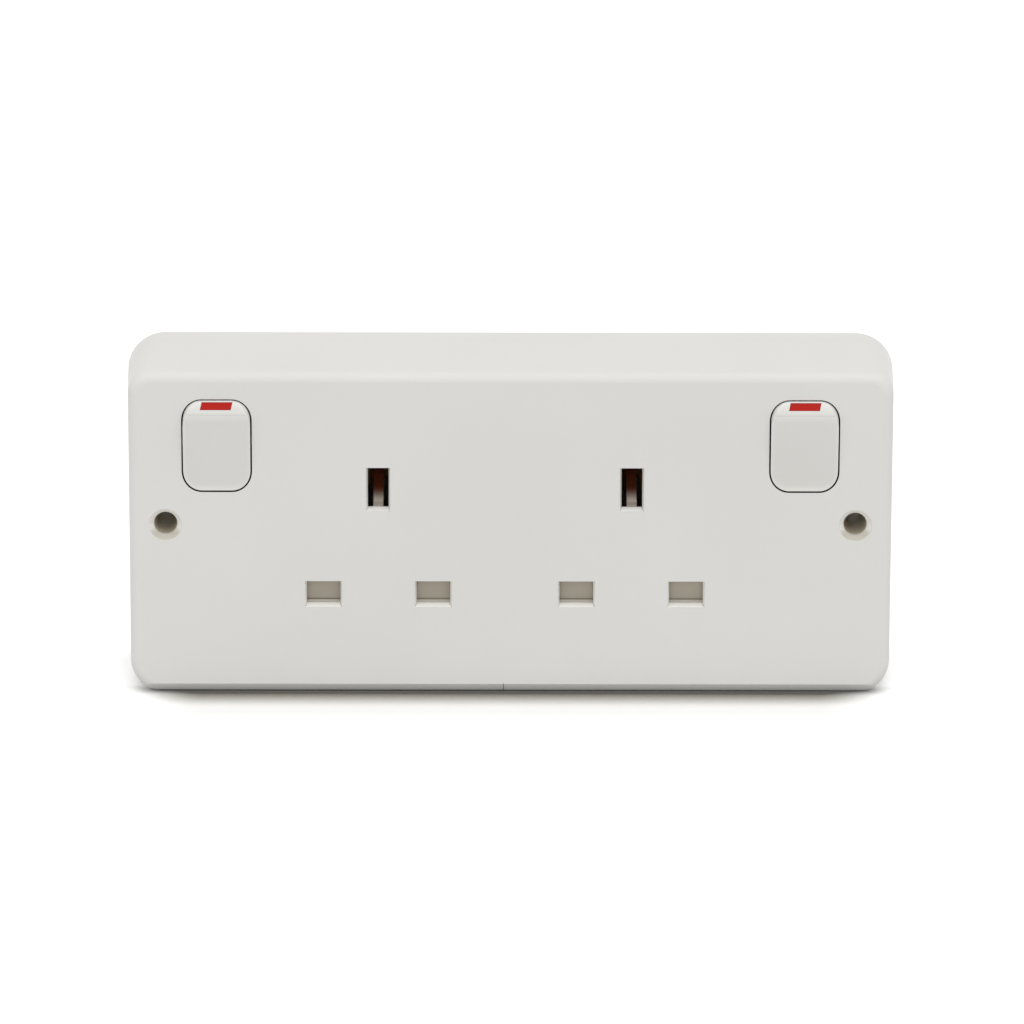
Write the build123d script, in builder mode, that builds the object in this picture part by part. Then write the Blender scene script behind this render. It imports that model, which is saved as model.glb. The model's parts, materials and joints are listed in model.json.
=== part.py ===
from build123d import *
import os
from math import cos, degrees, atan, hypot, radians, sin, sqrt, tan

os.makedirs("parts", exist_ok=True)

# A two gang switched socket outlet for three rectangular pins, in millimetres.
# +X is right and +Z is up, seen from the front. The front face looks along -Y.
# The origin is on the face that it stands on, in the middle of its width and depth.
# Depths are measured from the front face into the body.

# Housing
body_width = 153.9
body_height = 68.1
body_depth = 28.0
foot_corner_radius = 6.8
top_corner_radius = 4.4
top_corner_growth = 0.125
side_draft = 2.3
top_draft = 0.8
front_edge_radius = 1.9
back_edge_radius = 0.5
foot_bevel = 2.2
face_wall = 2.2
side_wall = 2.2
rim_wall = 1.1
plate_thickness = 2.5
plate_clearance = 0.15

# Pins of the plug and the slots that take them
pin_row_spacing = 22.23
pin_pair_spacing = 22.23
line_pin_length = 17.7
pin_tip_clearance = 0.3
line_slot_width = 6.8
line_slot_height = 4.85
earth_slot_width = 4.17
earth_slot_height = 8.5
slot_flare = 0.35
earth_row_height = 43.64
outlet_spacing = 51.2
outlet_offset = -1.1

# Shutters, their guides and their springs
shutter_thickness = 1.6
shutter_gap = 0.15
shutter_travel = 5.4
shutter_lap = 0.85
blade_width = 9.6
blade_pocket = 0.4
blade_rim = 0.3
bridge_height = 4.86
guide_width = 1.5
guide_gap = 0.3
guide_foot = 6.0
stop_length = 7.0
cam_width = 2.0
cam_tip = 13.6
cam_back = 1.5
cam_height = 3.0
cam_clearance = 0.15
seat_width = 6.0
seat_height = 4.0
seat_depth = 4.6
shutter_spring_radius = 1.75
shutter_spring_wire = 0.5
shutter_spring_turns = 5
spigot_radius = 1.2
spigot_height = 2.0

# Carriers and contact clips
carrier_thickness = 1.5
carrier_foot = 16.2
carrier_shoulder = 0.8
carrier_window_gap = 0.25
cam_slot_width = 6.8
chamber_wall = 1.2
chamber_width = 7.4
chamber_height = 8.6
sheet = 0.7
clip_width = 6.0
clip_seat = 0.5
leaf_mouth_depth = 6.6
leaf_mouth = 3.1
leaf_pinch = 1.75
leaf_root = 2.5
line_pinch_depth = 11.5
earth_leaf_mouth = 2.85
earth_leaf_pinch = 1.5
earth_pinch_depth = 13.0

# Rocker switches
switch_inset = 17.78
switch_drop = 15.22
pivot_depth = 3.6
opening_width = 14.2
opening_height = 19.57
opening_corner = 4.1
rocker_gap = 0.33
rocker_tilt = 6.5
rocker_face = 4.4
rocker_crest = 7.6
facet_drop = 2.1
rocker_skirt = 4.0
rocker_wall = 1.2
rocker_edge = 0.9
pivot_radius = 1.2
pivot_clearance = 0.05
pivot_length = 1.3
cheek_wall = 1.5
cheek_height = 12.0
flag_width = 6.1
flag_height = 1.6
flag_skew = 0.35
flag_thickness = 0.8
flag_margin = 0.44
flag_clearance = 0.05

# Plunger, seesaw arm and switch contacts
tube_radius = 2.5
tube_length = 5.5
bore_radius = 1.5
bore_start = -1.0
plunger_clearance = 0.05
plunger_length = 6.5
plunger_reach = 8.9
plunger_tip_radius = 1.1
switch_spring_radius = 1.05
switch_spring_wire = 0.4
switch_spring_turns = 4
spring_end_gap = 0.28
arm_gap = 0.15
arm_width = 5.0
arm_sheet = 0.9
arm_upper = 7.5
arm_lower = 6.5
arm_corner = 1.5
knife_clearance = 0.05
knife_edge = 0.2
knife_post = 1.4
contact_radius = 1.4
contact_height = 0.55
contact_position = 6.2
contact_gap = 0.09
rivet_radius = 1.6
rivet_height = 0.95

# Bars and links
bar_sheet = 0.8
bar_width = 5.0
live_bar_width = 3.5
live_bar_drop = 2.8
link_width = 4.0
link_rise = 10.04
link_pad_height = 6.0
neutral_bar_height = 11.0
live_post_radius = 2.4
live_post_spacing = 40.0

# Screws, bosses and fixing holes
fixing_inset = 7.3
fixing_drop = 32.0
fixing_hole_radius = 2.35
fixing_sink_radius = 3.35
fixing_sink_angle = 70.0
fixing_tube_radius = 4.2
fixing_joint_depth = 16.0
boss_radius = 3.2
screw_radius = 1.5
screw_clearance = 0.05
screw_length = 13.0
head_radius = 2.8
head_height = 2.0
head_clearance = 0.3
head_cover = 0.2
head_drive_width = 0.8
head_drive_length = 3.4
head_drive_depth = 1.1
plate_boss_height = 2.5
plate_boss_wall = 1.0
upper_screw_inset = 33.95
upper_screw_drop = 11.5
lower_screw_inset = 6.75
lower_screw_height = 8.6

# Cable inlet, clamp and terminals
inlet_radius = 4.25
inlet_drop = 14.4
inlet_depth = 11.5
collar_wall = 1.6
collar_length = 2.6
clamp_inset = 14.45
clamp_spacing = 15.6
clamp_post_depth = 14.0
clamp_width = 7.0
clamp_sheet = 3.0
clamp_rib_width = 1.4
clamp_rib_height = 0.8
saddle_depth = 7.6
saddle_wall = 1.4
terminal_width = 7.0
terminal_height = 8.0
terminal_depth = 8.0
wire_hole_radius = 1.6
terminal_screw_radius = 1.7
terminal_screw_length = 6.2
terminal_screw_stand = 0.4
terminal_slot = 0.7
press_size = 6.0
press_wall = 1.4
earth_press_height = 0.97

# Depths and places that follow from the sizes above
half_depth = body_depth / 2
half_pair = pin_pair_spacing / 2
plate_depth = body_depth - plate_thickness
boss_depth = plate_depth - plate_boss_height
head_seat_depth = body_depth - head_height - head_cover
switch_height = body_height - switch_drop
switch_spacing = body_width - 2 * switch_inset
outlet_centres = [outlet_offset - outlet_spacing / 2, outlet_offset + outlet_spacing / 2]
switch_centres = [-switch_spacing / 2, switch_spacing / 2]
line_row_height = earth_row_height - pin_row_spacing
shutter_front = face_wall + shutter_gap
shutter_back = shutter_front + shutter_thickness
blade_height = line_slot_height + 2 * shutter_lap
blade_foot = line_row_height - blade_height / 2
carrier_front = shutter_back + guide_gap
carrier_back = carrier_front + carrier_thickness
line_seat_depth = line_pin_length + pin_tip_clearance
line_bar_depth = line_seat_depth + sheet
earth_bar_depth = plate_depth - earth_press_height - bar_sheet
earth_seat_depth = earth_bar_depth - sheet
guide_reach = half_pair + blade_width / 2 + guide_gap
carrier_reach = guide_reach + guide_width
shoulder_height = earth_row_height + carrier_shoulder
opening_radius = sqrt((opening_height / 2) ** 2 + pivot_depth**2)
rocker_radius = opening_radius - rocker_gap
rocker_width = opening_width - 2 * rocker_gap
facet_start = (-rocker_face, rocker_crest)
facet_end = (facet_drop - rocker_face, sqrt(rocker_radius**2 - (rocker_face - facet_drop) ** 2))
fulcrum_depth = pivot_depth + plunger_reach + arm_gap + arm_sheet + knife_clearance
contact_front = fulcrum_depth + (contact_height - knife_clearance) * cos(radians(rocker_tilt))
contact_front = contact_front + (contact_position + contact_radius) * sin(radians(rocker_tilt)) + contact_gap
rivet_rise = contact_position * cos(radians(rocker_tilt)) - contact_height * sin(radians(rocker_tilt))
live_bar_depth = contact_front + rivet_height
live_bar_height = body_height - side_wall - live_bar_drop
link_run_height = line_row_height + link_rise
fixing_height = body_height - fixing_drop
inlet_height = fixing_height - inlet_drop
clamp_distance = body_width / 2 - clamp_inset
upper_screw_height = body_height - upper_screw_drop
fixing_positions = [(side * (body_width / 2 - fixing_inset), fixing_height) for side in (-1, 1)]
screw_positions = [(side * (body_width / 2 - lower_screw_inset), lower_screw_height) for side in (-1, 1)]
screw_positions += [(side * (body_width / 2 - upper_screw_inset), upper_screw_height) for side in (-1, 1)]
clamp_positions = [(-clamp_distance, inlet_height + side * clamp_spacing / 2) for side in (-1, 1)]
live_post_positions = [
    (outlet_offset - live_post_spacing / 2, live_bar_height),
    (outlet_offset + live_post_spacing / 2, live_bar_height),
]
SIDES = ["left", "right"]


def face_plane(depth, x=0.0, z=0.0):
    """A plane parallel to the front face: X right, Z up, its normal out of the front."""
    return Plane(origin=(x, depth - half_depth, z), x_dir=(1, 0, 0), z_dir=(0, -1, 0))


def side_plane(x):
    """A plane across the width: its first axis runs into the depth, its second is up."""
    return Plane(origin=(x, -half_depth, 0), x_dir=(0, 1, 0), z_dir=(1, 0, 0))


def top_plane(z):
    """A plane at a height: its first axis is X and its second runs into the depth."""
    return Plane(origin=(0, -half_depth, z), x_dir=(1, 0, 0), z_dir=(0, 0, 1))


def rocker_plane(x):
    """Across the width, through a rocker's pivot, turned to its ON position. The first axis runs inward
    along the plunger's tube and the second is up along the rocker."""
    tilt = radians(rocker_tilt)
    pivot = (x, pivot_depth - half_depth, switch_height)
    return Plane(origin=pivot, x_dir=(0, cos(tilt), sin(tilt)), z_dir=(1, 0, 0))


def tube_plane(x):
    """Across the plunger's tube, at the rocker's pivot, with its normal running inward."""
    return Plane(origin=rocker_plane(x).origin, x_dir=(1, 0, 0), z_dir=rocker_plane(x).x_dir)


def arm_plane(x):
    """Across the width, through a seesaw arm's knife edge. The first axis runs inward, square to the arm,
    and the second runs up along it, with the upper end pressed in."""
    tilt = radians(rocker_tilt)
    edge = (x, fulcrum_depth - half_depth, switch_height)
    return Plane(origin=edge, x_dir=(0, cos(tilt), -sin(tilt)), z_dir=(1, 0, 0))


def facet_plane(x):
    """On the sloped top facet of a rocker, at the middle of its flag: X right, second axis up the slope."""
    run = facet_end[0] - facet_start[0]
    rise = facet_end[1] - facet_start[1]
    length = hypot(run, rise)
    along = length - flag_margin - flag_height / 2
    base = rocker_plane(x)
    middle = (facet_start[0] + run * along / length, facet_start[1] + rise * along / length, 0)
    outward = base.from_local_coords(Vector(-rise, run, 0)) - base.origin
    return Plane(origin=base.from_local_coords(Vector(*middle)), x_dir=(1, 0, 0), z_dir=outward)


def body_section(depth, inset):
    """The housing's outline at a depth, inset by a wall. Its top corners open up towards the back."""
    widening = depth * tan(radians(side_draft))
    height = body_height + depth * tan(radians(top_draft))
    with BuildSketch(face_plane(depth)) as section:
        with Locations((0, height / 2)):
            Rectangle(body_width + 2 * widening - 2 * inset, height - 2 * inset)
        fillet(section.vertices().sort_by(Axis.Y)[:2], radius=foot_corner_radius + widening - inset)
        fillet(section.vertices().sort_by(Axis.Y)[-2:], radius=top_corner_radius + depth * top_corner_growth - inset)
    return section.sketch


def line_pins(centre):
    """Where the neutral and the live pin of an outlet go."""
    return [(centre - half_pair, line_row_height), (centre + half_pair, line_row_height)]


def rocker_opening(centre):
    """The space of a rocker's opening through the front wall, with ends that are round about the pivot."""
    with BuildPart() as opening:
        with BuildSketch(side_plane(centre)):
            with Locations((pivot_depth, switch_height)):
                Circle(opening_radius)
            with Locations((0, switch_height)):
                Rectangle(2 * face_wall, 3 * opening_radius, mode=Mode.INTERSECT)
        extrude(amount=opening_width / 2, both=True)
        fillet(opening.edges().filter_by(GeomType.CIRCLE), radius=opening_corner)
    return opening.part


def flag_outline(x, clearance):
    """The slanted bar of a rocker's flag, grown by a clearance."""
    half_width = flag_width / 2 + clearance
    half_height = flag_height / 2 + clearance
    lean = flag_skew / 2
    with BuildSketch(facet_plane(x)) as outline:
        Polygon(
            (-half_width - lean, -half_height),
            (half_width - lean, -half_height),
            (half_width + lean, half_height),
            (-half_width + lean, half_height),
            align=None,
        )
    return outline.sketch


# Front cover: a drafted shell with rounded front edges and a bevel along its foot
rocker_openings = [rocker_opening(centre) for centre in switch_centres]
with BuildPart() as front_cover:
    loft([body_section(0, 0), body_section(body_depth, 0)], ruled=True)
    fillet(front_cover.faces().sort_by(Axis.Y)[0].edges(), radius=front_edge_radius)
    fillet(front_cover.faces().sort_by(Axis.Y)[-1].edges(), radius=back_edge_radius)
    with BuildSketch(side_plane(0)):
        corner = -foot_bevel
        Polygon((corner, corner), (2 * foot_bevel, corner), (corner, 2 * foot_bevel), align=None)
    extrude(amount=body_width, both=True, mode=Mode.SUBTRACT)

    # Hollow inside, and the rebate that takes the back plate
    for start, inset in ((face_wall, side_wall), (plate_depth, rim_wall)):
        loft([body_section(start, inset), body_section(body_depth, inset)], ruled=True, mode=Mode.SUBTRACT)

    # Rails beside each shutter, stops above its blades, and the spigot of its spring
    rail_middle = (guide_foot + shoulder_height) / 2
    for centre in outlet_centres:
        with BuildSketch(face_plane(face_wall)):
            for side in (-1, 1):
                with Locations((centre + side * (guide_reach + guide_width / 2), rail_middle)):
                    Rectangle(guide_width, shoulder_height - guide_foot)
                stop_height = blade_foot + blade_height + guide_gap + guide_width / 2
                with Locations((centre + side * (guide_reach - stop_length / 2), stop_height)):
                    Rectangle(stop_length, guide_width)
        extrude(amount=face_wall - carrier_front)
        with BuildSketch(top_plane(side_wall)):
            with Locations((centre, seat_depth)):
                Circle(spigot_radius)
        extrude(amount=spigot_height)

    # Cheeks that carry each rocker's pivots and the strip behind the seesaw arm
    for centre in switch_centres:
        with BuildSketch(face_plane(face_wall)):
            for side in (-1, 1):
                with Locations((centre + side * (opening_width + cheek_wall) / 2, switch_height)):
                    Rectangle(cheek_wall, cheek_height)
        extrude(amount=face_wall - line_bar_depth)

    # Fixing tubes, screw bosses, clamp posts and the posts under the live bar
    with BuildSketch(face_plane(face_wall)):
        with Locations(*fixing_positions):
            Circle(fixing_tube_radius)
    extrude(amount=face_wall - fixing_joint_depth)
    with BuildSketch(face_plane(face_wall)):
        with Locations(*screw_positions):
            Circle(boss_radius)
    extrude(amount=face_wall - boss_depth)
    with BuildSketch(face_plane(face_wall)):
        with Locations(*clamp_positions):
            Circle(boss_radius)
    extrude(amount=face_wall - clamp_post_depth)
    with BuildSketch(face_plane(face_wall)):
        with Locations(*live_post_positions):
            Circle(live_post_radius)
    extrude(amount=face_wall - live_bar_depth)

    # Saddle under the cable, and the collar inside the inlet
    with BuildSketch(face_plane(face_wall)):
        with Locations((-clamp_distance, inlet_height)):
            Rectangle(saddle_wall, clamp_spacing - boss_radius)
    extrude(amount=face_wall - saddle_depth)
    with BuildSketch(side_plane(-body_width / 2 + side_wall / 2)):
        with Locations((inlet_depth, inlet_height)):
            Circle(inlet_radius + collar_wall)
    extrude(amount=side_wall / 2 + collar_length)
    with BuildSketch(side_plane(-body_width / 2 - side_wall)):
        with Locations((inlet_depth, inlet_height)):
            Circle(inlet_radius)
    extrude(amount=2 * side_wall + collar_length, mode=Mode.SUBTRACT)

    # Screw holes from the back
    with BuildSketch(face_plane(boss_depth)):
        with Locations(*screw_positions):
            Circle(screw_radius + screw_clearance)
    extrude(amount=screw_length + boss_depth - head_seat_depth + head_cover, mode=Mode.SUBTRACT)
    with BuildSketch(face_plane(clamp_post_depth)):
        with Locations(*clamp_positions):
            Circle(screw_radius + screw_clearance)
    extrude(amount=screw_length - clamp_sheet + head_cover, mode=Mode.SUBTRACT)

    # Countersunk fixing holes
    with Locations(*[face_plane(0, x, z) for x, z in fixing_positions]):
        CounterSinkHole(fixing_hole_radius, fixing_sink_radius, fixing_joint_depth, fixing_sink_angle)

    # Pin slots, flared towards the front
    for centre in outlet_centres:
        slots = [(x, z, line_slot_width, line_slot_height) for x, z in line_pins(centre)]
        slots += [(centre, earth_row_height, earth_slot_width, earth_slot_height)]
        for x, z, width, height in slots:
            with BuildSketch(face_plane(0, x, z)):
                Rectangle(width + 2 * slot_flare, height + 2 * slot_flare)
            with BuildSketch(face_plane(face_wall, x, z)):
                Rectangle(width, height)
            loft(ruled=True, mode=Mode.SUBTRACT)

    # Rocker openings and the bearings of their pivots
    for opening in rocker_openings:
        add(opening, mode=Mode.SUBTRACT)
    for centre in switch_centres:
        with BuildSketch(side_plane(centre)):
            with Locations((pivot_depth, switch_height)):
                Circle(pivot_radius + pivot_clearance)
        extrude(amount=opening_width / 2 + cheek_wall, both=True, mode=Mode.SUBTRACT)
front_cover.part.label = "front_cover"
export_step(front_cover.part, "parts/front_cover.step")

# Back plate: it sits in the cover's rebate and presses on the contacts inside
with BuildPart() as back_plate:
    plate_inset = rim_wall + plate_clearance
    loft([body_section(plate_depth, plate_inset), body_section(body_depth, plate_inset)], ruled=True)
    with BuildSketch(face_plane(plate_depth)):
        with Locations(*fixing_positions):
            Circle(fixing_tube_radius)
    extrude(amount=plate_depth - fixing_joint_depth)
    with BuildSketch(face_plane(plate_depth)):
        with Locations(*screw_positions):
            Circle(head_radius + head_clearance + plate_boss_wall)
    extrude(amount=plate_boss_height)

    # Crossed ribs down to the strips over the clips and switches, and to the live bar
    line_press = [pin for centre in outlet_centres for pin in line_pins(centre)]
    line_press += [(centre, switch_height) for centre in switch_centres]
    earth_press = [(centre, earth_row_height) for centre in outlet_centres]
    for positions, strip_depth in (
        (line_press, line_bar_depth),
        (live_post_positions, live_bar_depth),
        (earth_press, earth_bar_depth),
    ):
        with BuildSketch(face_plane(plate_depth)):
            with Locations(*positions):
                Rectangle(press_wall, live_bar_width)
                Rectangle(press_size, press_wall)
        extrude(amount=plate_depth - strip_depth - bar_sheet)

    # Screw heads sit below the back face, and the fixing tubes run right through
    with BuildSketch(face_plane(body_depth)):
        with Locations(*screw_positions):
            Circle(head_radius + head_clearance)
    extrude(amount=body_depth - head_seat_depth, mode=Mode.SUBTRACT)
    with BuildSketch(face_plane(body_depth)):
        with Locations(*screw_positions):
            Circle(screw_radius + screw_clearance)
    extrude(amount=body_depth - boss_depth, mode=Mode.SUBTRACT)
    with BuildSketch(face_plane(body_depth)):
        with Locations(*fixing_positions):
            Circle(fixing_hole_radius)
    extrude(amount=body_depth - fixing_joint_depth, mode=Mode.SUBTRACT)
back_plate.part.label = "back_plate"
export_step(back_plate.part, "parts/back_plate.step")


def driven_screws(positions, seat_depth_of_head):
    """Identical pan head screws with crossed recesses, driven from the back."""
    with BuildPart() as screws:
        with BuildSketch(face_plane(seat_depth_of_head)):
            with Locations(*positions):
                Circle(head_radius)
        extrude(amount=-head_height)
        with BuildSketch(face_plane(seat_depth_of_head)):
            with Locations(*positions):
                Circle(screw_radius)
        extrude(amount=screw_length)
        with BuildSketch(face_plane(seat_depth_of_head + head_height)):
            with Locations(*positions):
                Rectangle(head_drive_length, head_drive_width)
                Rectangle(head_drive_width, head_drive_length)
        extrude(amount=head_drive_depth, mode=Mode.SUBTRACT)
    return screws.part


case_screws = driven_screws(screw_positions, head_seat_depth)
case_screws.label = "case_screws"
export_step(case_screws, "parts/case_screws.step")

clamp_screws = driven_screws(clamp_positions, clamp_post_depth + clamp_sheet)
clamp_screws.label = "clamp_screws"
export_step(clamp_screws, "parts/clamp_screws.step")

# Cable clamp: a bar across the inlet's line, with a rib that bites on the sheath
with BuildPart() as cable_clamp:
    with BuildSketch(face_plane(clamp_post_depth, -clamp_distance, inlet_height)):
        SlotCenterToCenter(clamp_spacing, clamp_width, rotation=90)
    extrude(amount=-clamp_sheet)
    with BuildSketch(face_plane(clamp_post_depth, -clamp_distance, inlet_height)):
        Rectangle(clamp_rib_width, clamp_spacing - 2 * boss_radius)
    extrude(amount=clamp_rib_height)
    with BuildSketch(face_plane(clamp_post_depth)):
        with Locations(*clamp_positions):
            Circle(screw_radius + screw_clearance)
    extrude(amount=-clamp_sheet, mode=Mode.SUBTRACT)
cable_clamp.part.label = "cable_clamp"
export_step(cable_clamp.part, "parts/cable_clamp.step")


def coil_spring(foot, direction, length, radius, wire, turns):
    """A coil spring of square wire, standing on its foot and reaching its whole length."""
    rise = length - wire
    centre = foot + direction * (wire / 2)
    with BuildPart() as spring:
        with BuildLine() as coil:
            Helix(pitch=rise / turns, height=rise, radius=radius, center=centre, direction=direction)
        with BuildSketch(Plane(origin=coil.line @ 0, z_dir=coil.line % 0)):
            Rectangle(wire, wire, rotation=45)
        sweep(is_frenet=True)
    return spring.part


def make_shutter(centre):
    """One sliding shutter: two blades on a bridge, the seat of its spring, and the ramp that the earth pin
    pushes down."""
    foot = blade_foot - bridge_height
    ramp_foot = earth_row_height - earth_slot_height / 2
    ramp_top = ramp_foot + shutter_travel - cam_clearance
    fin_back = seat_depth + shutter_spring_radius + shutter_spring_wire
    under_foot = ramp_top - cam_height - (cam_tip + cam_back - fin_back)
    with BuildPart() as shutter:
        with BuildSketch(face_plane(shutter_front)):
            with Locations(*line_pins(centre)):
                Rectangle(blade_width, blade_height)
            with Locations((centre, foot + bridge_height / 2)):
                Rectangle(pin_pair_spacing + blade_width, bridge_height)
        extrude(amount=-shutter_thickness)
        for x, z in line_pins(centre):
            pocket_width = blade_width - 2 * blade_rim
            pocket_height = blade_height - shutter_lap - blade_rim
            with BuildSketch(face_plane(shutter_front, x, z + (shutter_lap - blade_rim) / 2)):
                Rectangle(pocket_width, pocket_height)
            extrude(amount=-blade_pocket, taper=45, mode=Mode.SUBTRACT)
        with BuildSketch(face_plane(shutter_front)):
            with Locations((centre, foot + seat_height / 2)):
                Rectangle(seat_width, seat_height)
        extrude(amount=shutter_front - fin_back)
        with BuildSketch(side_plane(centre)):
            Polygon(
                (shutter_front, foot + seat_height / 2),
                (shutter_front, ramp_foot),
                (cam_tip, ramp_top),
                (cam_tip + cam_back, ramp_top),
                (cam_tip + cam_back, ramp_top - cam_height),
                (fin_back, under_foot),
                (fin_back, foot + seat_height / 2),
                align=None,
            )
        extrude(amount=cam_width / 2, both=True)
    return shutter.part


def make_carrier(centre):
    """The inner moulding behind one shutter, with a chamber for each contact clip."""
    block_width = chamber_width + 2 * chamber_wall
    block_height = chamber_height + 2 * chamber_wall
    with BuildPart() as carrier:
        with BuildSketch(face_plane(carrier_front)):
            with Locations((centre, (carrier_foot + shoulder_height) / 2)):
                Rectangle(2 * carrier_reach, shoulder_height - carrier_foot)
            with Locations((centre, earth_row_height)):
                Rectangle(block_width, block_height)
        extrude(amount=-carrier_thickness)
        with BuildSketch(face_plane(carrier_back)):
            with Locations(*line_pins(centre)):
                Rectangle(block_width, block_height)
        extrude(amount=carrier_back - line_seat_depth)
        with BuildSketch(face_plane(carrier_back)):
            with Locations(*line_pins(centre)):
                Rectangle(chamber_width, chamber_height)
        extrude(amount=carrier_back - line_seat_depth, mode=Mode.SUBTRACT)
        with BuildSketch(face_plane(carrier_back)):
            with Locations((centre, earth_row_height)):
                Rectangle(block_width, block_height)
        extrude(amount=carrier_back - earth_seat_depth)
        with BuildSketch(face_plane(carrier_back)):
            with Locations((centre, earth_row_height - chamber_wall)):
                Rectangle(chamber_width, block_height)
        extrude(amount=carrier_back - earth_seat_depth, mode=Mode.SUBTRACT)

        # Windows for the pins, and the slot that the shutter's fin moves in
        window = 2 * carrier_window_gap
        with BuildSketch(face_plane(carrier_front)):
            with Locations(*line_pins(centre)):
                Rectangle(line_slot_width + window, line_slot_height + window)
            with Locations((centre, earth_row_height)):
                Rectangle(earth_slot_width + window, earth_slot_height + window)
            slot_top = earth_row_height - earth_slot_height / 2
            with Locations((centre, (carrier_foot + slot_top) / 2)):
                Rectangle(cam_slot_width, slot_top - carrier_foot)
        extrude(amount=-carrier_thickness, mode=Mode.SUBTRACT)
    return carrier.part


def make_line_clip(x):
    """A spring clip whose two leaves close on the flat sides of a live or neutral pin."""
    with BuildPart() as clip:
        with BuildSketch(face_plane(line_seat_depth, x, line_row_height)):
            Rectangle(chamber_width + 2 * clip_seat, chamber_height + 2 * clip_seat)
        extrude(amount=-sheet)
        with BuildSketch(side_plane(x)):
            for side in (-1, 1):
                Polygon(
                    (leaf_mouth_depth, line_row_height + side * leaf_mouth),
                    (line_pinch_depth, line_row_height + side * leaf_pinch),
                    (line_seat_depth, line_row_height + side * leaf_root),
                    (line_seat_depth, line_row_height + side * (leaf_root + sheet)),
                    (line_pinch_depth, line_row_height + side * (leaf_pinch + sheet)),
                    (leaf_mouth_depth, line_row_height + side * (leaf_mouth + sheet)),
                    align=None,
                )
        extrude(amount=clip_width / 2, both=True)
    return clip.part


def make_earth_clip(x):
    """A spring clip whose two leaves close on the sides of the earth pin, clear of the shutter's ramp."""
    with BuildPart() as clip:
        with BuildSketch(face_plane(earth_seat_depth, x, earth_row_height)):
            Rectangle(chamber_width + 2 * clip_seat, chamber_height + 2 * clip_seat)
        extrude(amount=-sheet)
        with BuildSketch(top_plane(earth_row_height)):
            for side in (-1, 1):
                Polygon(
                    (x + side * earth_leaf_mouth, leaf_mouth_depth),
                    (x + side * earth_leaf_pinch, earth_pinch_depth),
                    (x + side * leaf_root, earth_seat_depth),
                    (x + side * (leaf_root + sheet), earth_seat_depth),
                    (x + side * (earth_leaf_pinch + sheet), earth_pinch_depth),
                    (x + side * (earth_leaf_mouth + sheet), leaf_mouth_depth),
                    align=None,
                )
        extrude(amount=clip_width / 2, both=True)
    return clip.part


def make_rocker(x):
    """One rocker: a shell with ends round about its pivot, a sloped top facet, pivot stubs and a tube."""
    base = rocker_plane(x)
    far = 2 * rocker_radius
    cap_back = rocker_wall - rocker_face
    with BuildPart() as rocker:
        with BuildSketch(base):
            Circle(rocker_radius)
            Polygon(
                (-rocker_face, -far),
                facet_start,
                facet_end,
                (facet_end[0], far),
                (rocker_skirt, far),
                (rocker_skirt, -far),
                align=None,
                mode=Mode.INTERSECT,
            )
        extrude(amount=rocker_width / 2, both=True)
        fillet(rocker.edges().filter_by(GeomType.CIRCLE), radius=opening_corner - rocker_gap)
        visible = rocker.faces().filter_by(GeomType.PLANE).sort_by(SortBy.AREA)[-1].edges()
        visible += rocker.faces().filter_by(lambda f: f.normal_at().dot(facet_plane(x).z_dir) > 0.999).edges()
        fillet(set(visible), radius=rocker_edge)

        # Hollow behind the face, with solid material left behind the facet
        with BuildSketch(base):
            Circle(rocker_radius - rocker_wall)
            with Locations(((cap_back + rocker_skirt) / 2, (rocker_crest - rocker_wall - far) / 2)):
                Rectangle(rocker_skirt - cap_back, rocker_crest - rocker_wall + far, mode=Mode.INTERSECT)
        extrude(amount=rocker_width / 2 - rocker_wall, both=True, mode=Mode.SUBTRACT)
        with BuildSketch(tube_plane(x).offset(cap_back)):
            Circle(tube_radius)
        extrude(amount=tube_length - cap_back)
        with BuildSketch(tube_plane(x).offset(bore_start)):
            Circle(bore_radius)
        extrude(amount=tube_length - bore_start, mode=Mode.SUBTRACT)

        # Pivot stubs on both sides, and the pocket of the flag
        for side in (-1, 1):
            with BuildSketch(base.offset(side * (rocker_width / 2 - rocker_wall))):
                Circle(pivot_radius)
            extrude(amount=side * (rocker_wall + pivot_length))
        extrude(flag_outline(x, flag_clearance), amount=-flag_thickness, mode=Mode.SUBTRACT)
    return rocker.part


def make_flag(x):
    """The red bar that shows in the rocker's top facet when it is ON."""
    with BuildPart() as flag:
        extrude(flag_outline(x, 0), amount=-flag_thickness)
    return flag.part


def make_plunger(x):
    """The plunger in the rocker's tube, with a round tip that rides on the seesaw arm."""
    base = rocker_plane(x)
    back = plunger_reach - plunger_length
    shoulder = plunger_reach - plunger_tip_radius
    radius = bore_radius - plunger_clearance
    with BuildPart() as plunger:
        with BuildSketch(base):
            with BuildLine():
                tip, rim = (plunger_reach, 0), (shoulder, plunger_tip_radius)
                Polyline(rim, (shoulder, radius), (back, radius), (back, 0), tip)
                RadiusArc(tip, rim, plunger_tip_radius)
            make_face()
        revolve(axis=Axis(base.origin, base.x_dir))
    return plunger.part


def make_arm(x):
    """The seesaw arm that the plunger tips over, with a contact on the back of its upper end."""
    base = arm_plane(x)
    with BuildPart() as arm:
        with BuildSketch(base):
            with Locations((-knife_clearance - arm_sheet / 2, (arm_upper - arm_lower) / 2)):
                Rectangle(arm_sheet, arm_upper + arm_lower)
        extrude(amount=arm_width / 2, both=True)
        short_edges = arm.edges().filter_by(lambda e: abs(e.length - arm_sheet) < arm_sheet / 100)
        fillet(short_edges, radius=arm_corner)
        contact_foot = base.from_local_coords(Vector(-knife_clearance, contact_position, 0))
        with BuildSketch(Plane(origin=contact_foot, x_dir=(1, 0, 0), z_dir=base.x_dir)):
            Circle(contact_radius)
        extrude(amount=contact_height)
    return arm.part


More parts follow.
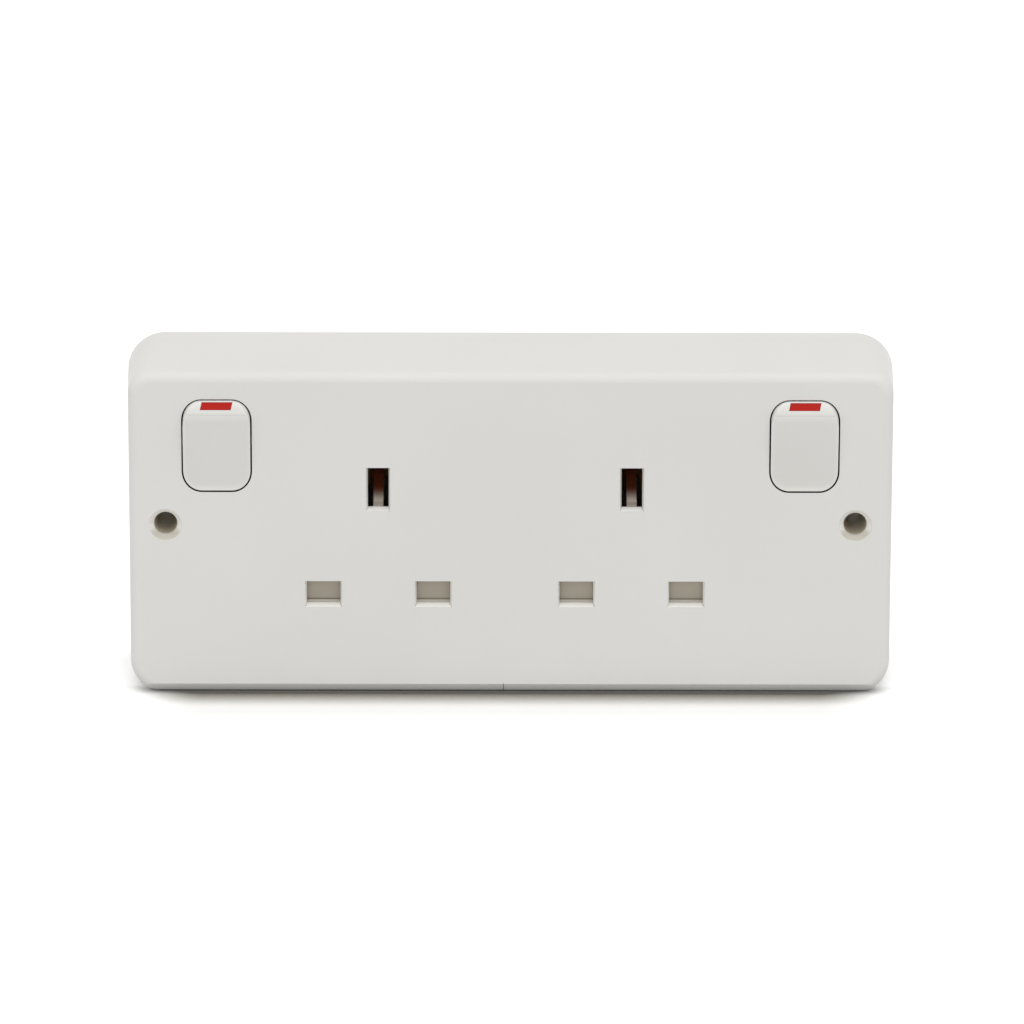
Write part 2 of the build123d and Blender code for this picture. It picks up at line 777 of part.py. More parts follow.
def make_bracket(x):
    """The knife edge that a seesaw arm rocks on, standing on the switch's strip."""
    foot = link_pad_height / 2
    with BuildPart() as bracket:
        with BuildSketch(side_plane(x)):
            half_post = knife_post / 2
            half_edge = knife_edge / 2
            tip = fulcrum_depth + knife_clearance
            points = [(tip, half_edge), (tip + knife_post, half_post), (line_seat_depth, half_post)]
            points += [(line_seat_depth, foot), (line_bar_depth, foot)]
            outline = [(depth, switch_height + rise) for depth, rise in points]
            outline += [(depth, switch_height - rise) for depth, rise in reversed(points)]
            Polygon(*outline, align=None)
        extrude(amount=arm_width / 2, both=True)
    return bracket.part


def make_live_link(side, switch_x, clip_x):
    """The strip from one switch's bracket to the live clip of its outlet."""
    riser_x = switch_x - side * (opening_width / 2 + cheek_wall + link_width / 2)
    with BuildPart() as link:
        with BuildSketch(face_plane(line_bar_depth)):
            pad_end = switch_x + side * (opening_width + cheek_wall) / 2
            with Locations(((riser_x + pad_end) / 2, switch_height)):
                Rectangle(abs(pad_end - riser_x), link_pad_height)
            riser_top = switch_height + link_pad_height / 2
            riser_foot = link_run_height - link_width / 2
            with Locations((riser_x, (riser_foot + riser_top) / 2)):
                Rectangle(link_width, riser_top - riser_foot)
            run_start = riser_x + side * link_width / 2
            run_end = clip_x - side * clip_width / 2
            with Locations(((run_start + run_end) / 2, link_run_height)):
                Rectangle(abs(run_end - run_start), link_width)
            tab_foot = line_row_height - chamber_height / 2
            tab_top = link_run_height + link_width / 2
            with Locations((clip_x, (tab_foot + tab_top) / 2)):
                Rectangle(clip_width, tab_top - tab_foot)
        extrude(amount=-bar_sheet)
    return link.part


switch_spring_length = plunger_reach - plunger_length - bore_start - spring_end_gap
for name, side, outlet_x, switch_x in zip(SIDES, (-1, 1), outlet_centres, switch_centres):
    neutral_x, live_x = outlet_x - half_pair, outlet_x + half_pair
    seat_under = blade_foot - bridge_height
    tube = tube_plane(switch_x)
    pieces = {
        "shutter": make_shutter(outlet_x),
        "shutter_spring": coil_spring(
            Vector(outlet_x, seat_depth - half_depth, side_wall),
            Vector(0, 0, 1),
            seat_under - side_wall,
            shutter_spring_radius,
            shutter_spring_wire,
            shutter_spring_turns,
        ),
        "carrier": make_carrier(outlet_x),
        "neutral_clip": make_line_clip(neutral_x),
        "live_clip": make_line_clip(live_x),
        "earth_clip": make_earth_clip(outlet_x),
        "rocker": make_rocker(switch_x),
        "flag": make_flag(switch_x),
        "plunger": make_plunger(switch_x),
        "switch_spring": coil_spring(
            tube.origin + tube.z_dir * bore_start,
            tube.z_dir,
            switch_spring_length,
            switch_spring_radius,
            switch_spring_wire,
            switch_spring_turns,
        ),
        "contact_arm": make_arm(switch_x),
        "arm_bracket": make_bracket(switch_x),
        "live_link": make_live_link(side, switch_x, live_x),
    }
    for piece_name, piece in pieces.items():
        piece.label = f"{piece_name}_{name}"
        export_step(piece, f"parts/{piece_name}_{name}.step")

# Live bar along the top, from switch to switch, with the hole of its terminal's screw
with BuildPart() as live_bar:
    pad_foot = switch_height + rivet_rise - rivet_radius
    bar_top = live_bar_height + live_bar_width / 2
    with BuildSketch(face_plane(live_bar_depth)):
        with Locations((0, live_bar_height)):
            Rectangle(switch_spacing + clip_width, live_bar_width)
        for centre in switch_centres:
            with Locations((centre, (pad_foot + bar_top) / 2)):
                Rectangle(clip_width, bar_top - pad_foot)
        with Locations((outlet_offset, bar_top - terminal_height / 2)):
            Rectangle(terminal_width, terminal_height)
            Circle(terminal_screw_radius + screw_clearance, mode=Mode.SUBTRACT)
    extrude(amount=-bar_sheet)
live_bar.part.label = "live_bar"
export_step(live_bar.part, "parts/live_bar.step")

# Contact rivets on the live bar's pads, one behind each seesaw arm
for name, centre in zip(SIDES, switch_centres):
    with BuildPart() as fixed_contact:
        with BuildSketch(face_plane(live_bar_depth, centre, switch_height + rivet_rise)):
            Circle(rivet_radius)
        extrude(amount=rivet_height)
    fixed_contact.part.label = f"fixed_contact_{name}"
    export_step(fixed_contact.part, f"parts/fixed_contact_{name}.step")

# Neutral bar along the foot, with a tab up to each neutral clip
with BuildPart() as neutral_bar:
    tab_top = line_row_height + chamber_height / 2
    with BuildSketch(face_plane(line_bar_depth)):
        with Locations((outlet_offset - half_pair, neutral_bar_height)):
            Rectangle(outlet_spacing + clip_width, bar_width)
        for centre in outlet_centres:
            with Locations((centre - half_pair, (neutral_bar_height + tab_top) / 2)):
                Rectangle(clip_width, tab_top - neutral_bar_height)
        with Locations((outlet_offset, neutral_bar_height)):
            Circle(terminal_screw_radius + screw_clearance, mode=Mode.SUBTRACT)
    extrude(amount=-bar_sheet)
neutral_bar.part.label = "neutral_bar"
export_step(neutral_bar.part, "parts/neutral_bar.step")

# Earth bar straight across, behind both earth clips
with BuildPart() as earth_bar:
    with BuildSketch(face_plane(earth_bar_depth)):
        with Locations((outlet_offset, earth_row_height)):
            Rectangle(outlet_spacing + chamber_width, bar_width)
            Circle(terminal_screw_radius + screw_clearance, mode=Mode.SUBTRACT)
    extrude(amount=-bar_sheet)
earth_bar.part.label = "earth_bar"
export_step(earth_bar.part, "parts/earth_bar.step")

# Terminals: a block in front of each bar, with a hole for the core and a screw from the back
terminal_places = {
    "live": (live_bar_depth, bar_top - terminal_height / 2),
    "neutral": (line_bar_depth, neutral_bar_height),
    "earth": (earth_bar_depth, earth_row_height),
}
for name, (bar_depth, height) in terminal_places.items():
    with BuildPart() as terminal:
        with BuildSketch(face_plane(bar_depth, outlet_offset, height)):
            Rectangle(terminal_width, terminal_height)
            Circle(terminal_screw_radius + screw_clearance, mode=Mode.SUBTRACT)
        extrude(amount=terminal_depth)
        with BuildSketch(top_plane(height)):
            with Locations((outlet_offset, bar_depth - terminal_depth / 2)):
                Circle(wire_hole_radius)
        extrude(amount=terminal_height / 2, both=True, mode=Mode.SUBTRACT)
    terminal.part.label = f"terminal_{name}"
    export_step(terminal.part, f"parts/terminal_{name}.step")

# The three slotted screws of the terminals, standing just proud of their bars
with BuildPart() as terminal_screws:
    for bar_depth, height in terminal_places.values():
        head_depth = bar_depth + bar_sheet + terminal_screw_stand
        with BuildSketch(face_plane(head_depth, outlet_offset, height)):
            Circle(terminal_screw_radius)
        extrude(amount=terminal_screw_length)
        with BuildSketch(face_plane(head_depth, outlet_offset, height)):
            Rectangle(2 * terminal_screw_radius, terminal_slot)
        extrude(amount=terminal_slot, mode=Mode.SUBTRACT)
terminal_screws.part.label = "terminal_screws"
export_step(terminal_screws.part, "parts/terminal_screws.step")
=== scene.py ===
import json
import math

import bpy
from mathutils import Matrix, Vector


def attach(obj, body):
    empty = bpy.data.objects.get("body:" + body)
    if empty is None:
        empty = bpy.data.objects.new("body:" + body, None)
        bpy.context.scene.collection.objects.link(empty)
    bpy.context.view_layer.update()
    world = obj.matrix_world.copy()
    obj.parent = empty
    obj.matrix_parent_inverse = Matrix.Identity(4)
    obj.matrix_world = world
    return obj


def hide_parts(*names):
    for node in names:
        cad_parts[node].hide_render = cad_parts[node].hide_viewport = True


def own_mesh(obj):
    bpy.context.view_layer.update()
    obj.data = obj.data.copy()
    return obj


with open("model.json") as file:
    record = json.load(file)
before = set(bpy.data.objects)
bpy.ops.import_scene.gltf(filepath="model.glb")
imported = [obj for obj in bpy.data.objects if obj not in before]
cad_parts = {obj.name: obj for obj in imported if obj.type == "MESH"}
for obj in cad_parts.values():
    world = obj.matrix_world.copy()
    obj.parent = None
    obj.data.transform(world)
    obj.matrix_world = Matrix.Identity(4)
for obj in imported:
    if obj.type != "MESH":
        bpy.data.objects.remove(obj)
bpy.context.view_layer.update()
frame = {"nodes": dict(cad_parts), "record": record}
nodes = frame["nodes"]
SIDES = ("left", "right")


def srgb(red, green, blue):
    """A colour written as it shows on a screen, 0 to 255, as the linear colour that shaders take."""
    channels = [c / 255 for c in (red, green, blue)]
    return [c / 12.92 if c <= 0.04045 else ((c + 0.055) / 1.055) ** 2.4 for c in channels]


# Materials


def new_material(name):
    """An empty node material: the material, its nodes, its links and its Principled shader."""
    material = bpy.data.materials.new(name)
    material.use_nodes = True
    tree = material.node_tree
    return material, tree.nodes, tree.links, tree.nodes["Principled BSDF"]


def noise(nodes_, links, vector, scale, detail, stretch=(1, 1, 1)):
    """A noise texture in object space; scale is in features per metre."""
    mapping = nodes_.new("ShaderNodeMapping")
    mapping.inputs["Scale"].default_value = stretch
    links.new(vector, mapping.inputs["Vector"])
    texture = nodes_.new("ShaderNodeTexNoise")
    texture.inputs["Scale"].default_value = scale
    texture.inputs["Detail"].default_value = detail
    links.new(mapping.outputs["Vector"], texture.inputs["Vector"])
    return texture.outputs["Fac"]


def ramp(nodes_, links, factor, low, high, start=0.35, end=0.65):
    """A colour between low and high, driven by a texture."""
    node = nodes_.new("ShaderNodeValToRGB")
    node.color_ramp.elements[0].position = start
    node.color_ramp.elements[1].position = end
    node.color_ramp.elements[0].color = (*low, 1)
    node.color_ramp.elements[1].color = (*high, 1)
    links.new(factor, node.inputs["Fac"])
    return node.outputs["Color"]


def remap(nodes_, links, value, low, high):
    """A texture's value moved to the range from low to high."""
    node = nodes_.new("ShaderNodeMapRange")
    node.inputs["From Min"].default_value = 0.3
    node.inputs["From Max"].default_value = 0.7
    node.inputs["To Min"].default_value = low
    node.inputs["To Max"].default_value = high
    links.new(value, node.inputs["Value"])
    return node.outputs["Result"]


def rise(nodes_, links, value, start, end):
    """A value's smooth way from zero at start to one at end; it falls where start is the larger."""
    node = nodes_.new("ShaderNodeMapRange")
    node.interpolation_type = "SMOOTHSTEP"
    node.inputs["From Min"].default_value = start
    node.inputs["From Max"].default_value = end
    links.new(value, node.inputs["Value"])
    return node.outputs["Result"]


def maths(nodes_, links, operation, first, second=0.0):
    """The result of an operation on two values, each a socket or a number."""
    node = nodes_.new("ShaderNodeMath")
    node.operation = operation
    for socket, value in zip(node.inputs, (first, second)):
        if isinstance(value, (int, float)):
            socket.default_value = value
        else:
            links.new(value, socket)
    return node.outputs["Value"]


def product(nodes_, links, factors):
    """All of the factors multiplied."""
    result = factors[0]
    for factor in factors[1:]:
        result = maths(nodes_, links, "MULTIPLY", result, factor)
    return result


def hypotenuse(nodes_, links, across, along):
    """The straight distance that two offsets at right angles make."""
    squares = [maths(nodes_, links, "MULTIPLY", offset, offset) for offset in (across, along)]
    return maths(nodes_, links, "SQRT", maths(nodes_, links, "ADD", *squares))


def axes(nodes_, links, place):
    """A place's x, y and z."""
    node = nodes_.new("ShaderNodeSeparateXYZ")
    links.new(place, node.inputs["Vector"])
    return node.outputs


def tint(nodes_, links, factor, base, colour):
    """A base colour with another laid over it as far as a factor says."""
    node = nodes_.new("ShaderNodeMix")
    node.data_type = "RGBA"
    links.new(factor, node.inputs["Factor"])
    links.new(base, node.inputs["A"])
    node.inputs["B"].default_value = (*colour, 1)
    return node.outputs["Result"]


def crevice(nodes_, links, reach, closed=0.46):
    """One where other surfaces within reach close a place in, zero where it lies open; it masks the painted
    shade in gaps and crevices.
    """
    node = nodes_.new("ShaderNodeAmbientOcclusion")
    node.samples = 4
    node.inputs["Distance"].default_value = reach
    return rise(nodes_, links, node.outputs["AO"], closed, 0.2)


def bump(nodes_, links, height, distance, strength, shader, normal=None):
    """Relief of a depth in metres on a shader."""
    node = nodes_.new("ShaderNodeBump")
    node.inputs["Strength"].default_value = strength
    node.inputs["Distance"].default_value = distance
    links.new(height, node.inputs["Height"])
    if normal is not None:
        links.new(normal, node.inputs["Normal"])
    links.new(node.outputs["Normal"], shader.inputs["Normal"])
    return node.outputs["Normal"]


DRIFT_SCALE, PATCH_SCALE, WAVE_SCALE = 28, 110, 22
WAVE_DEPTH = 0.0004


def moulded(name, colour, shade, roughness, grain, relief, gloss=0.5, paint=None):
    """Moulded plastic: a colour that drifts a little towards a shade, a fine grain and slow flow waves.
    A paint lays further colours over it by place."""
    material, nodes_, links, shader = new_material(name)
    place = nodes_.new("ShaderNodeTexCoord").outputs["Object"]
    drift = noise(nodes_, links, place, DRIFT_SCALE, 3)
    base = ramp(nodes_, links, drift, shade, colour)
    if paint is not None:
        base = paint(nodes_, links, place, base)
    links.new(base, shader.inputs["Base Color"])
    patch = noise(nodes_, links, place, PATCH_SCALE, 4)
    links.new(remap(nodes_, links, patch, roughness - 0.04, roughness + 0.05), shader.inputs["Roughness"])
    shader.inputs["Specular IOR Level"].default_value = gloss
    waves = bump(nodes_, links, noise(nodes_, links, place, WAVE_SCALE, 2), WAVE_DEPTH, 0.04, shader)
    bump(nodes_, links, noise(nodes_, links, place, grain, 5), relief, 0.35, shader, waves)
    return material


STREAK_SCALE, DULL_SCALE = 900, 240


def metal(name, colour, shade, roughness, stretch, relief=0.00001, lustre=1.0):
    """Rolled or drawn metal: fine streaks in the roughness and relief, and dull patches in the colour."""
    material, nodes_, links, shader = new_material(name)
    place = nodes_.new("ShaderNodeTexCoord").outputs["Object"]
    streak = noise(nodes_, links, place, STREAK_SCALE, 4, stretch)
    dull = noise(nodes_, links, place, DULL_SCALE, 5)
    links.new(ramp(nodes_, links, dull, shade, colour, 0.3, 0.6), shader.inputs["Base Color"])
    links.new(remap(nodes_, links, streak, roughness - 0.08, roughness + 0.12), shader.inputs["Roughness"])
    shader.inputs["Metallic"].default_value = lustre
    bump(nodes_, links, streak, relief, 0.5, shader)
    return material


# Paints: colours laid over a material by place, most of them painted light and shade

MM = 0.001
FRONT_FACE = -14 * MM
BACK_FACE = 14 * MM
TOP_Z = 68.1 * MM
GAP_REACH = 0.8 * MM
GAP_DARK = srgb(16, 14, 12)
SEAM_X = -1.35 * MM
SLOTS_X = 46 * MM
SLOTS_FOOT, SLOTS_TOP = 10 * MM, 50 * MM
FIXING_X = 69.65 * MM
FIXING_Z = 36.1 * MM
ROCKER_X = 59.17 * MM
ROCKER_Z = 52.88 * MM
ROCKER_HALF_WIDTH, ROCKER_HALF_HEIGHT, ROCKER_CORNER = 8.05 * MM, 10.1 * MM, 4.6 * MM
CREASE_Z = 59.66 * MM


def from_fixing(nodes_, links, aside, z):
    """How far a place is from the axis of the nearer fixing hole."""
    across = maths(nodes_, links, "SUBTRACT", aside, FIXING_X)
    along = maths(nodes_, links, "SUBTRACT", z, FIXING_Z)
    return hypotenuse(nodes_, links, across, along)


def housing_paint(nodes_, links, place, base):
    """The cover's slot walls lightened with painted light, a brown tone deeper in its screw holes, painted
    light on the upper part of their countersinks and painted shade on the lower part, the mould's seam on its
    foot edge, its darker back edge, and painted shade in its gaps."""
    x, y, z = axes(nodes_, links, place)
    aside = maths(nodes_, links, "ABSOLUTE", x)
    inside = rise(nodes_, links, y, FRONT_FACE + 0.05 * MM, FRONT_FACE + 0.2 * MM)
    # Painted light: the walls of the socket slots lightened.
    slots = [
        inside,
        rise(nodes_, links, aside, SLOTS_X, SLOTS_X - 1 * MM),
        rise(nodes_, links, z, SLOTS_TOP, SLOTS_TOP - 1 * MM),
        rise(nodes_, links, z, SLOTS_FOOT, SLOTS_FOOT + 1 * MM),
    ]
    base = tint(nodes_, links, product(nodes_, links, slots), base, srgb(251, 250, 246))

    off_hole = from_fixing(nodes_, links, aside, z)
    bore = [
        rise(nodes_, links, off_hole, 3.2 * MM, 2.6 * MM),
        rise(nodes_, links, y, FRONT_FACE + 0.8 * MM, FRONT_FACE + 2.4 * MM),
    ]
    base = tint(nodes_, links, product(nodes_, links, bore), base, srgb(190, 177, 148))
    # Countersinks: painted light on the upper part, painted shade on the lower part.
    cone = product(nodes_, links, [
        rise(nodes_, links, off_hole, 3.9 * MM, 3.5 * MM),
        rise(nodes_, links, off_hole, 2.2 * MM, 2.5 * MM),
        inside,
    ])
    low, high = FIXING_Z - 2.2 * MM, FIXING_Z - 0.6 * MM
    upper = product(nodes_, links, [cone, rise(nodes_, links, z, low, high)])
    base = tint(nodes_, links, upper, base, srgb(240, 238, 231))
    lower = product(nodes_, links, [cone, rise(nodes_, links, z, high, low)])
    base = tint(nodes_, links, lower, base, srgb(200, 196, 184))

    off_seam = maths(nodes_, links, "ABSOLUTE", maths(nodes_, links, "SUBTRACT", x, SEAM_X))
    seam = [
        rise(nodes_, links, off_seam, 0.16 * MM, 0.04 * MM),
        rise(nodes_, links, z, 2.6 * MM, 2.0 * MM),
        rise(nodes_, links, y, FRONT_FACE + 3 * MM, FRONT_FACE + 2 * MM),
    ]
    base = tint(nodes_, links, product(nodes_, links, seam), base, srgb(138, 133, 123))
    back_edge = [
        rise(nodes_, links, z, TOP_Z - 0.7 * MM, TOP_Z - 0.2 * MM),
        rise(nodes_, links, y, BACK_FACE - 0.9 * MM, BACK_FACE - 0.4 * MM),
    ]
    base = tint(nodes_, links, product(nodes_, links, back_edge), base, srgb(206, 207, 201))
    # Painted shade in the gaps.
    return tint(nodes_, links, crevice(nodes_, links, GAP_REACH), base, GAP_DARK)


def back_paint(nodes_, links, place, base):
    """Painted light: the walls of the tubes behind the fixing holes lightened to a warm pale colour."""
    x, y, z = axes(nodes_, links, place)
    off_hole = from_fixing(nodes_, links, maths(nodes_, links, "ABSOLUTE", x), z)
    tube = [rise(nodes_, links, off_hole, 2.7 * MM, 2.5 * MM), rise(nodes_, links, y, 9 * MM, 4 * MM)]
    return tint(nodes_, links, product(nodes_, links, tube), base, srgb(250, 242, 222))


def rocker_paint(nodes_, links, place, base):
    """A rocker's crease softened with painted light below it and painted shade above it, a painted highlight
    along its rim, and painted shade in the gap round it.
    """
    x, y, z = axes(nodes_, links, place)
    aside = maths(nodes_, links, "SUBTRACT", maths(nodes_, links, "ABSOLUTE", x), ROCKER_X)
    across = maths(nodes_, links, "ABSOLUTE", aside)
    along = maths(nodes_, links, "ABSOLUTE", maths(nodes_, links, "SUBTRACT", z, ROCKER_Z))
    past = [
        maths(nodes_, links, "MAXIMUM", maths(nodes_, links, "SUBTRACT", size, half - ROCKER_CORNER), 0.0)
        for size, half in ((across, ROCKER_HALF_WIDTH), (along, ROCKER_HALF_HEIGHT))
    ]
    out = hypotenuse(nodes_, links, *past)
    # Painted light on the face just below the crease.
    below = [
        rise(nodes_, links, z, CREASE_Z - 1.6 * MM, CREASE_Z),
        rise(nodes_, links, z, CREASE_Z + 0.05 * MM, CREASE_Z),
    ]
    base = tint(nodes_, links, product(nodes_, links, below), base, srgb(224, 223, 219))
    # Painted shade on the facet just above the crease.
    above = [
        rise(nodes_, links, z, CREASE_Z + 1.5 * MM, CREASE_Z),
        rise(nodes_, links, z, CREASE_Z - 0.05 * MM, CREASE_Z),
    ]
    base = tint(nodes_, links, product(nodes_, links, above), base, srgb(212, 211, 206))
    # Painted highlight along the rocker's rim.
    rim = rise(nodes_, links, out, ROCKER_CORNER - 2.2 * MM, ROCKER_CORNER - 0.3 * MM)
    base = tint(nodes_, links, rim, base, srgb(233, 232, 227))
    # Painted shade in the gap round the rocker.
    return tint(nodes_, links, crevice(nodes_, links, GAP_REACH), base, GAP_DARK)


def flag_paint(nodes_, links, place, base):
    """Painted shade where the flag meets the rocker."""
    return tint(nodes_, links, crevice(nodes_, links, 0.5 * MM, 0.9), base, srgb(120, 18, 14))


def shutter_paint(nodes_, links, place, base):
    """The shutter's blades, darker towards their foot, with a line of painted shade in the crease above the
    ledge under them and painted light on that ledge; the ramp behind them, lightened to pale taupe at its foot
    with painted light and darkened to red-brown further in with painted shade; and painted shade in the
    crevices round it."""
    x, y, z = axes(nodes_, links, place)
    # Painted light: the ramp's foot lightened to pale taupe.
    base = tint(nodes_, links, rise(nodes_, links, y, -10.6 * MM, -10.3 * MM), base, srgb(208, 200, 182))
    # Painted shade: the ramp darkens to red-brown further into the slot.
    base = tint(nodes_, links, rise(nodes_, links, y, -10.0 * MM, -6.4 * MM), base, srgb(124, 63, 41))
    face = [rise(nodes_, links, y, -10.6 * MM, -10.9 * MM), rise(nodes_, links, z, 24 * MM, 23 * MM)]
    # Bands on the blades: darker towards the foot, a line of painted shade in the crease above the ledge, and
    # painted light on the ledge.
    for start, end, colour in (
        (22.6 * MM, 19.6 * MM, srgb(161, 155, 141)),
        (19.9 * MM, 19.55 * MM, srgb(118, 111, 96)),
        (19.45 * MM, 19.35 * MM, srgb(193, 187, 175)),
    ):
        band = product(nodes_, links, [*face, rise(nodes_, links, z, start, end)])
        base = tint(nodes_, links, band, base, colour)
    # Painted shade in the crevices round the shutter.
    return tint(nodes_, links, crevice(nodes_, links, 0.5 * MM, 0.6), base, srgb(84, 74, 60))


FINE_RELIEF, COARSE_RELIEF = 0.00001, 0.00003
materials = {
    "housing_white": moulded(
        "moulded_white", srgb(220, 219, 216), srgb(218, 217, 213), roughness=0.46, grain=5200,
        relief=0.000012, gloss=0.3, paint=housing_paint),
    "back_white": moulded(
        "moulded_back_white", srgb(208, 207, 202), srgb(202, 200, 194), roughness=0.56, grain=3400,
        relief=COARSE_RELIEF, gloss=0.35, paint=back_paint),
    "rocker_white": moulded(
        "moulded_rocker_white", srgb(216, 215, 211), srgb(214, 213, 208), roughness=0.4, grain=6000,
        relief=0.000008, gloss=0.3, paint=rocker_paint),
    "flag_red": moulded(
        "moulded_red", srgb(180, 34, 26), srgb(170, 28, 22), roughness=0.5, grain=6000, relief=FINE_RELIEF,
        gloss=0.1, paint=flag_paint),
    "shutter_grey": moulded(
        "moulded_taupe", srgb(176, 168, 153), srgb(168, 160, 145), roughness=0.5, grain=4200,
        relief=0.00002, gloss=0.3, paint=shutter_paint),
    "carrier_plastic": moulded(
        "dark_thermoset", srgb(136, 42, 26), srgb(112, 34, 20), roughness=0.55, grain=3600,
        relief=COARSE_RELIEF, gloss=0.3),
    "plunger_plastic": moulded(
        "natural_nylon", srgb(226, 222, 208), srgb(214, 208, 190), roughness=0.4, grain=3000,
        relief=FINE_RELIEF),
    "brass": metal(
        "rolled_brass", srgb(206, 176, 118), srgb(172, 144, 94), roughness=0.45, stretch=(1, 1, 0.06),
        lustre=0.7),
    "contact_silver": metal(
        "contact_silver", srgb(222, 220, 214), srgb(186, 182, 174), roughness=0.28, stretch=(1, 1, 1)),
    "spring_steel": metal(
        "drawn_steel_wire", srgb(190, 192, 194), srgb(150, 152, 156), roughness=0.25, stretch=(1, 1, 0.2)),
    "screw_zinc": metal(
        "zinc_plated_steel", srgb(206, 206, 200), srgb(176, 174, 160), roughness=0.34, stretch=(1, 1, 0.3)),
}
slot_of = {part["node"]: part["material_slot"] for part in frame["record"]["subparts"]}
for name, node in nodes.items():
    node.data.materials.clear()
    node.data.materials.append(materials[slot_of[name]])

# Springs


def coil(node, body):
    """A spring's node copied as a piece of its own that rides on a body, with the node hidden."""
    piece = bpy.data.objects.new(f"{node}_coil", nodes[node].data.copy())
    bpy.context.scene.collection.objects.link(piece)
    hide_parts(node)
    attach(piece, body)
    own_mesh(piece)


for side in SIDES:
    coil(f"shutter_spring_{side}", "housing")
    coil(f"switch_spring_{side}", f"rocker_{side}")

# Floor, light and camera


def background_rays(nodes_, links):
    """One for the rays that see the background: the camera's, and those off or through a surface."""
    rays = nodes_.new("ShaderNodeLightPath")
    seen = rays.outputs["Is Camera Ray"]
    for output in ("Is Glossy Ray", "Is Transmission Ray"):
        either = nodes_.new("ShaderNodeMath")
        either.operation = "MAXIMUM"
        links.new(seen, either.inputs[0])
        links.new(rays.outputs[output], either.inputs[1])
        seen = either.outputs["Value"]
    return seen


def make_floor():
    """A pale floor that shows white and keeps the object's shadow from the lamps, with a painted shadow added
    in front of the foot: a tone driven by ambient occlusion for the rays that see the background, fading out
    behind the object and past its ends; bounced light sees the floor darker near the foot, which is painted
    shade too.
    """
    mesh = bpy.data.meshes.new("floor")
    half, level = FLOOR_HALF_WIDTH, FLOOR_LEVEL
    corners = [(-half, -half, level), (half, -half, level), (half, half, level), (-half, half, level)]
    mesh.from_pydata(corners, [], [(0, 1, 2, 3)])
    floor = bpy.data.objects.new("floor", mesh)
    bpy.context.scene.collection.objects.link(floor)
    material, nodes_, links, shader = new_material("floor_white")
    # Painted shadow: ambient occlusion at two reaches sets the tone that the floor shows near the object.
    wide, close = [nodes_.new("ShaderNodeAmbientOcclusion") for _ in range(2)]
    for hollow, reach in ((wide, FLOOR_SHADE_REACH), (close, FLOOR_CONTACT_REACH)):
        hollow.inputs["Distance"].default_value = reach
        hollow.samples = 12
    tone = nodes_.new("ShaderNodeValToRGB")
    elements = tone.color_ramp.elements
    for element, (position, colour) in zip(elements, (FLOOR_TONES[0], FLOOR_TONES[-1])):
        element.position = position
        element.color = (*colour, 1)
    for position, colour in FLOOR_TONES[1:-1]:
        elements.new(position).color = (*colour, 1)
    links.new(wide.outputs["AO"], tone.inputs["Fac"])
    contact = nodes_.new("ShaderNodeMapRange")
    contact.inputs["To Min"].default_value = 1 - FLOOR_CONTACT_DEPTH
    links.new(close.outputs["AO"], contact.inputs["Value"])
    shade = nodes_.new("ShaderNodeVectorMath")
    shade.operation = "SCALE"
    links.new(tone.outputs["Color"], shade.inputs["Vector"])
    links.new(contact.outputs["Result"], shade.inputs["Scale"])
    x, y, z = axes(nodes_, links, nodes_.new("ShaderNodeTexCoord").outputs["Object"])
    # The painted shadow fades out past the object's ends and behind its front face.
    past_end = rise(nodes_, links, maths(nodes_, links, "ABSOLUTE", x), *FLOOR_END_FADE)
    away = maths(nodes_, links, "MAXIMUM", rise(nodes_, links, y, *FLOOR_BACK_FADE), past_end)
    shown = tint(nodes_, links, away, shade.outputs["Vector"], FLOOR_OPEN)
    # Painted shade: bounced light sees the floor darker near the foot.
    bounce = nodes_.new("ShaderNodeMapRange")
    bounce.inputs["To Min"].default_value = FLOOR_BOUNCE * FLOOR_BOUNCE_NEAR
    bounce.inputs["To Max"].default_value = FLOOR_BOUNCE
    links.new(close.outputs["AO"], bounce.inputs["Value"])
    blend = nodes_.new("ShaderNodeMix")
    blend.data_type = "RGBA"
    links.new(bounce.outputs["Result"], blend.inputs["A"])
    links.new(background_rays(nodes_, links), blend.inputs["Factor"])
    links.new(shown, blend.inputs["B"])
    links.new(blend.outputs["Result"], shader.inputs["Base Color"])
    shader.inputs["Roughness"].default_value = 0.9
    shader.inputs["Specular IOR Level"].default_value = 0.0
    mesh.materials.append(material)


def make_world(ambient):
    """An even pale surround that lights the object and shows white behind it."""
    world = bpy.data.worlds.new("surround")
    bpy.context.scene.world = world
    world.use_nodes = True
    nodes_, links = world.node_tree.nodes, world.node_tree.links
    background = nodes_["Background"]
    background.inputs["Color"].default_value = (1, 1, 1, 1)
    strength = nodes_.new("ShaderNodeMapRange")
    strength.inputs["To Min"].default_value = ambient
    strength.inputs["To Max"].default_value = 1.0
    links.new(background_rays(nodes_, links), strength.inputs["Value"])
    links.new(strength.outputs["Result"], background.inputs["Strength"])


def add_sun(name, direction, level, spread):
    """A soft distant lamp. A white face square to it renders at this level."""
    lamp = bpy.data.lights.new(name, "SUN")
    lamp.energy = math.pi * level
    lamp.angle = math.radians(spread)
    holder = bpy.data.objects.new(name, lamp)
    bpy.context.scene.collection.objects.link(holder)
    holder.rotation_mode = "QUATERNION"
    holder.rotation_quaternion = Vector(direction).to_track_quat("Z", "Y")


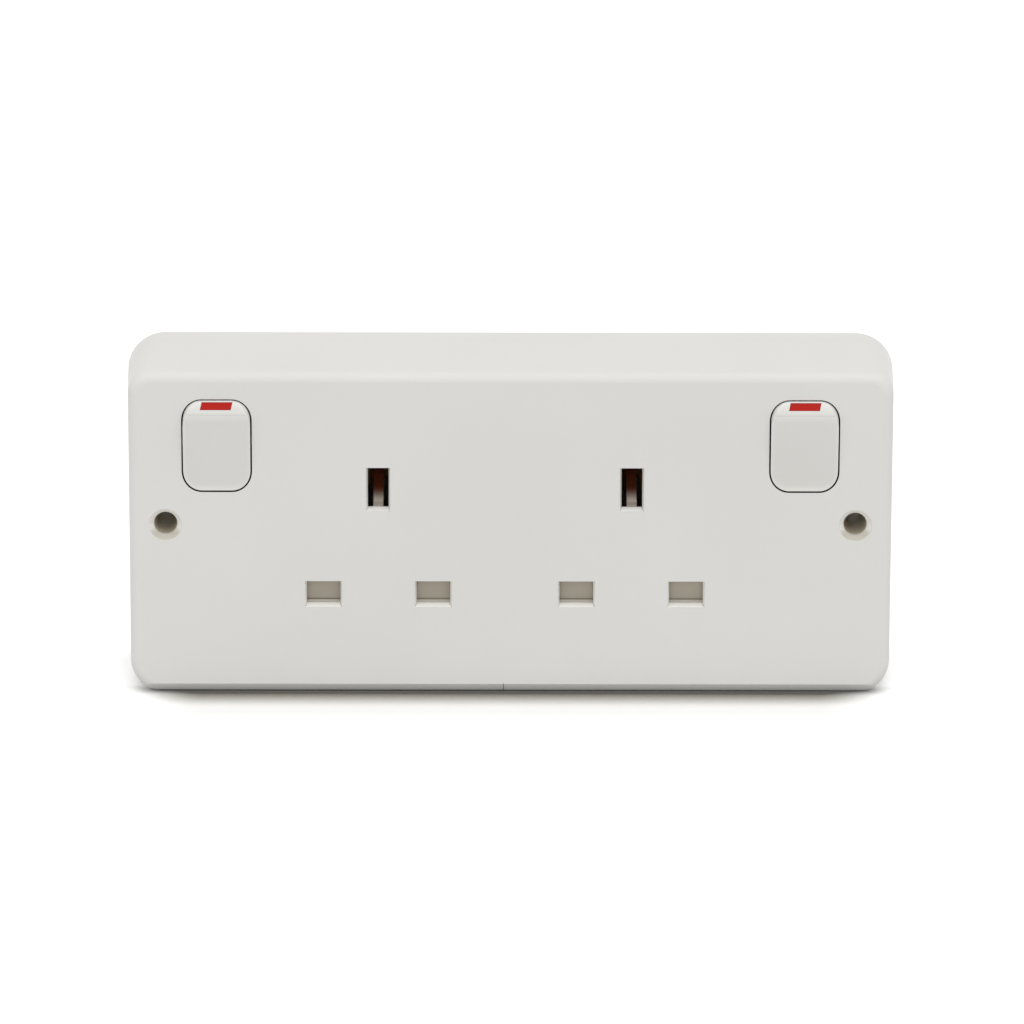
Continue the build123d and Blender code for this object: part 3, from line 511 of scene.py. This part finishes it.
FLOOR_HALF_WIDTH = 6.0
FLOOR_LEVEL = -0.05 * MM
# Where the painted floor shadow fades out.
FLOOR_END_FADE = (62 * MM, 82 * MM)
FLOOR_BACK_FADE = (FRONT_FACE, FRONT_FACE + 6 * MM)
# The painted floor shadow: the reaches of its ambient occlusion, its contact depth, the bounce near the foot,
# the open floor's white and the shadow's tones.
FLOOR_SHADE_REACH = 18 * MM
FLOOR_CONTACT_REACH = 8 * MM
FLOOR_CONTACT_DEPTH = 1.0
FLOOR_BOUNCE = 0.74
FLOOR_BOUNCE_NEAR = 0.25
FLOOR_OPEN = (1.3, 1.3, 1.29)
FLOOR_TONES = [
    (0.0, (0.4, 0.34, 0.26)),
    (0.5, (0.37, 0.34, 0.285)),
    (0.54, (0.5, 0.47, 0.415)),
    (0.584, (0.66, 0.63, 0.575)),
    (0.63, (0.81, 0.785, 0.735)),
    (0.675, (0.95, 0.93, 0.89)),
    (0.738, (0.955, 0.95, 0.93)),
    (0.84, (0.955, 0.955, 0.95)),
    (0.93, (0.99, 0.99, 0.987)),
    (1.0, (1.07, 1.07, 1.065)),
]
make_floor()
make_world(ambient=0.75)
add_sun("key", (0.08, -0.47, 1.0), level=0.3, spread=60)
add_sun("front_fill", (-0.1, -1.0, 0.2), level=0.085, spread=40)


def make_camera():
    """The photograph's view, fitted to the corners of the body and its openings."""
    distance, pitch, yaw, roll = 1.6216, math.radians(18.08), math.radians(0.186), math.radians(0.142)
    aim = Vector((0.000304, -0.014, 0.03896))
    look = Vector((math.sin(yaw) * math.cos(pitch), math.cos(yaw) * math.cos(pitch), -math.sin(pitch)))
    right = Vector((math.cos(yaw), -math.sin(yaw), 0))
    up = right.cross(look)
    turned_right = math.cos(roll) * right + math.sin(roll) * up
    turned_up = math.cos(roll) * up - math.sin(roll) * right
    lens = bpy.data.cameras.new("camera")
    lens.sensor_width = 36
    lens.lens = 282.54
    lens.clip_start, lens.clip_end = 0.05, 50
    camera = bpy.data.objects.new("camera", lens)
    bpy.context.scene.collection.objects.link(camera)
    turn = Matrix((turned_right, turned_up, -look)).transposed()
    camera.matrix_world = Matrix.Translation(aim - distance * look) @ turn.to_4x4()
    bpy.context.scene.camera = camera


make_camera()
bpy.context.scene.view_settings.view_transform = "Standard"
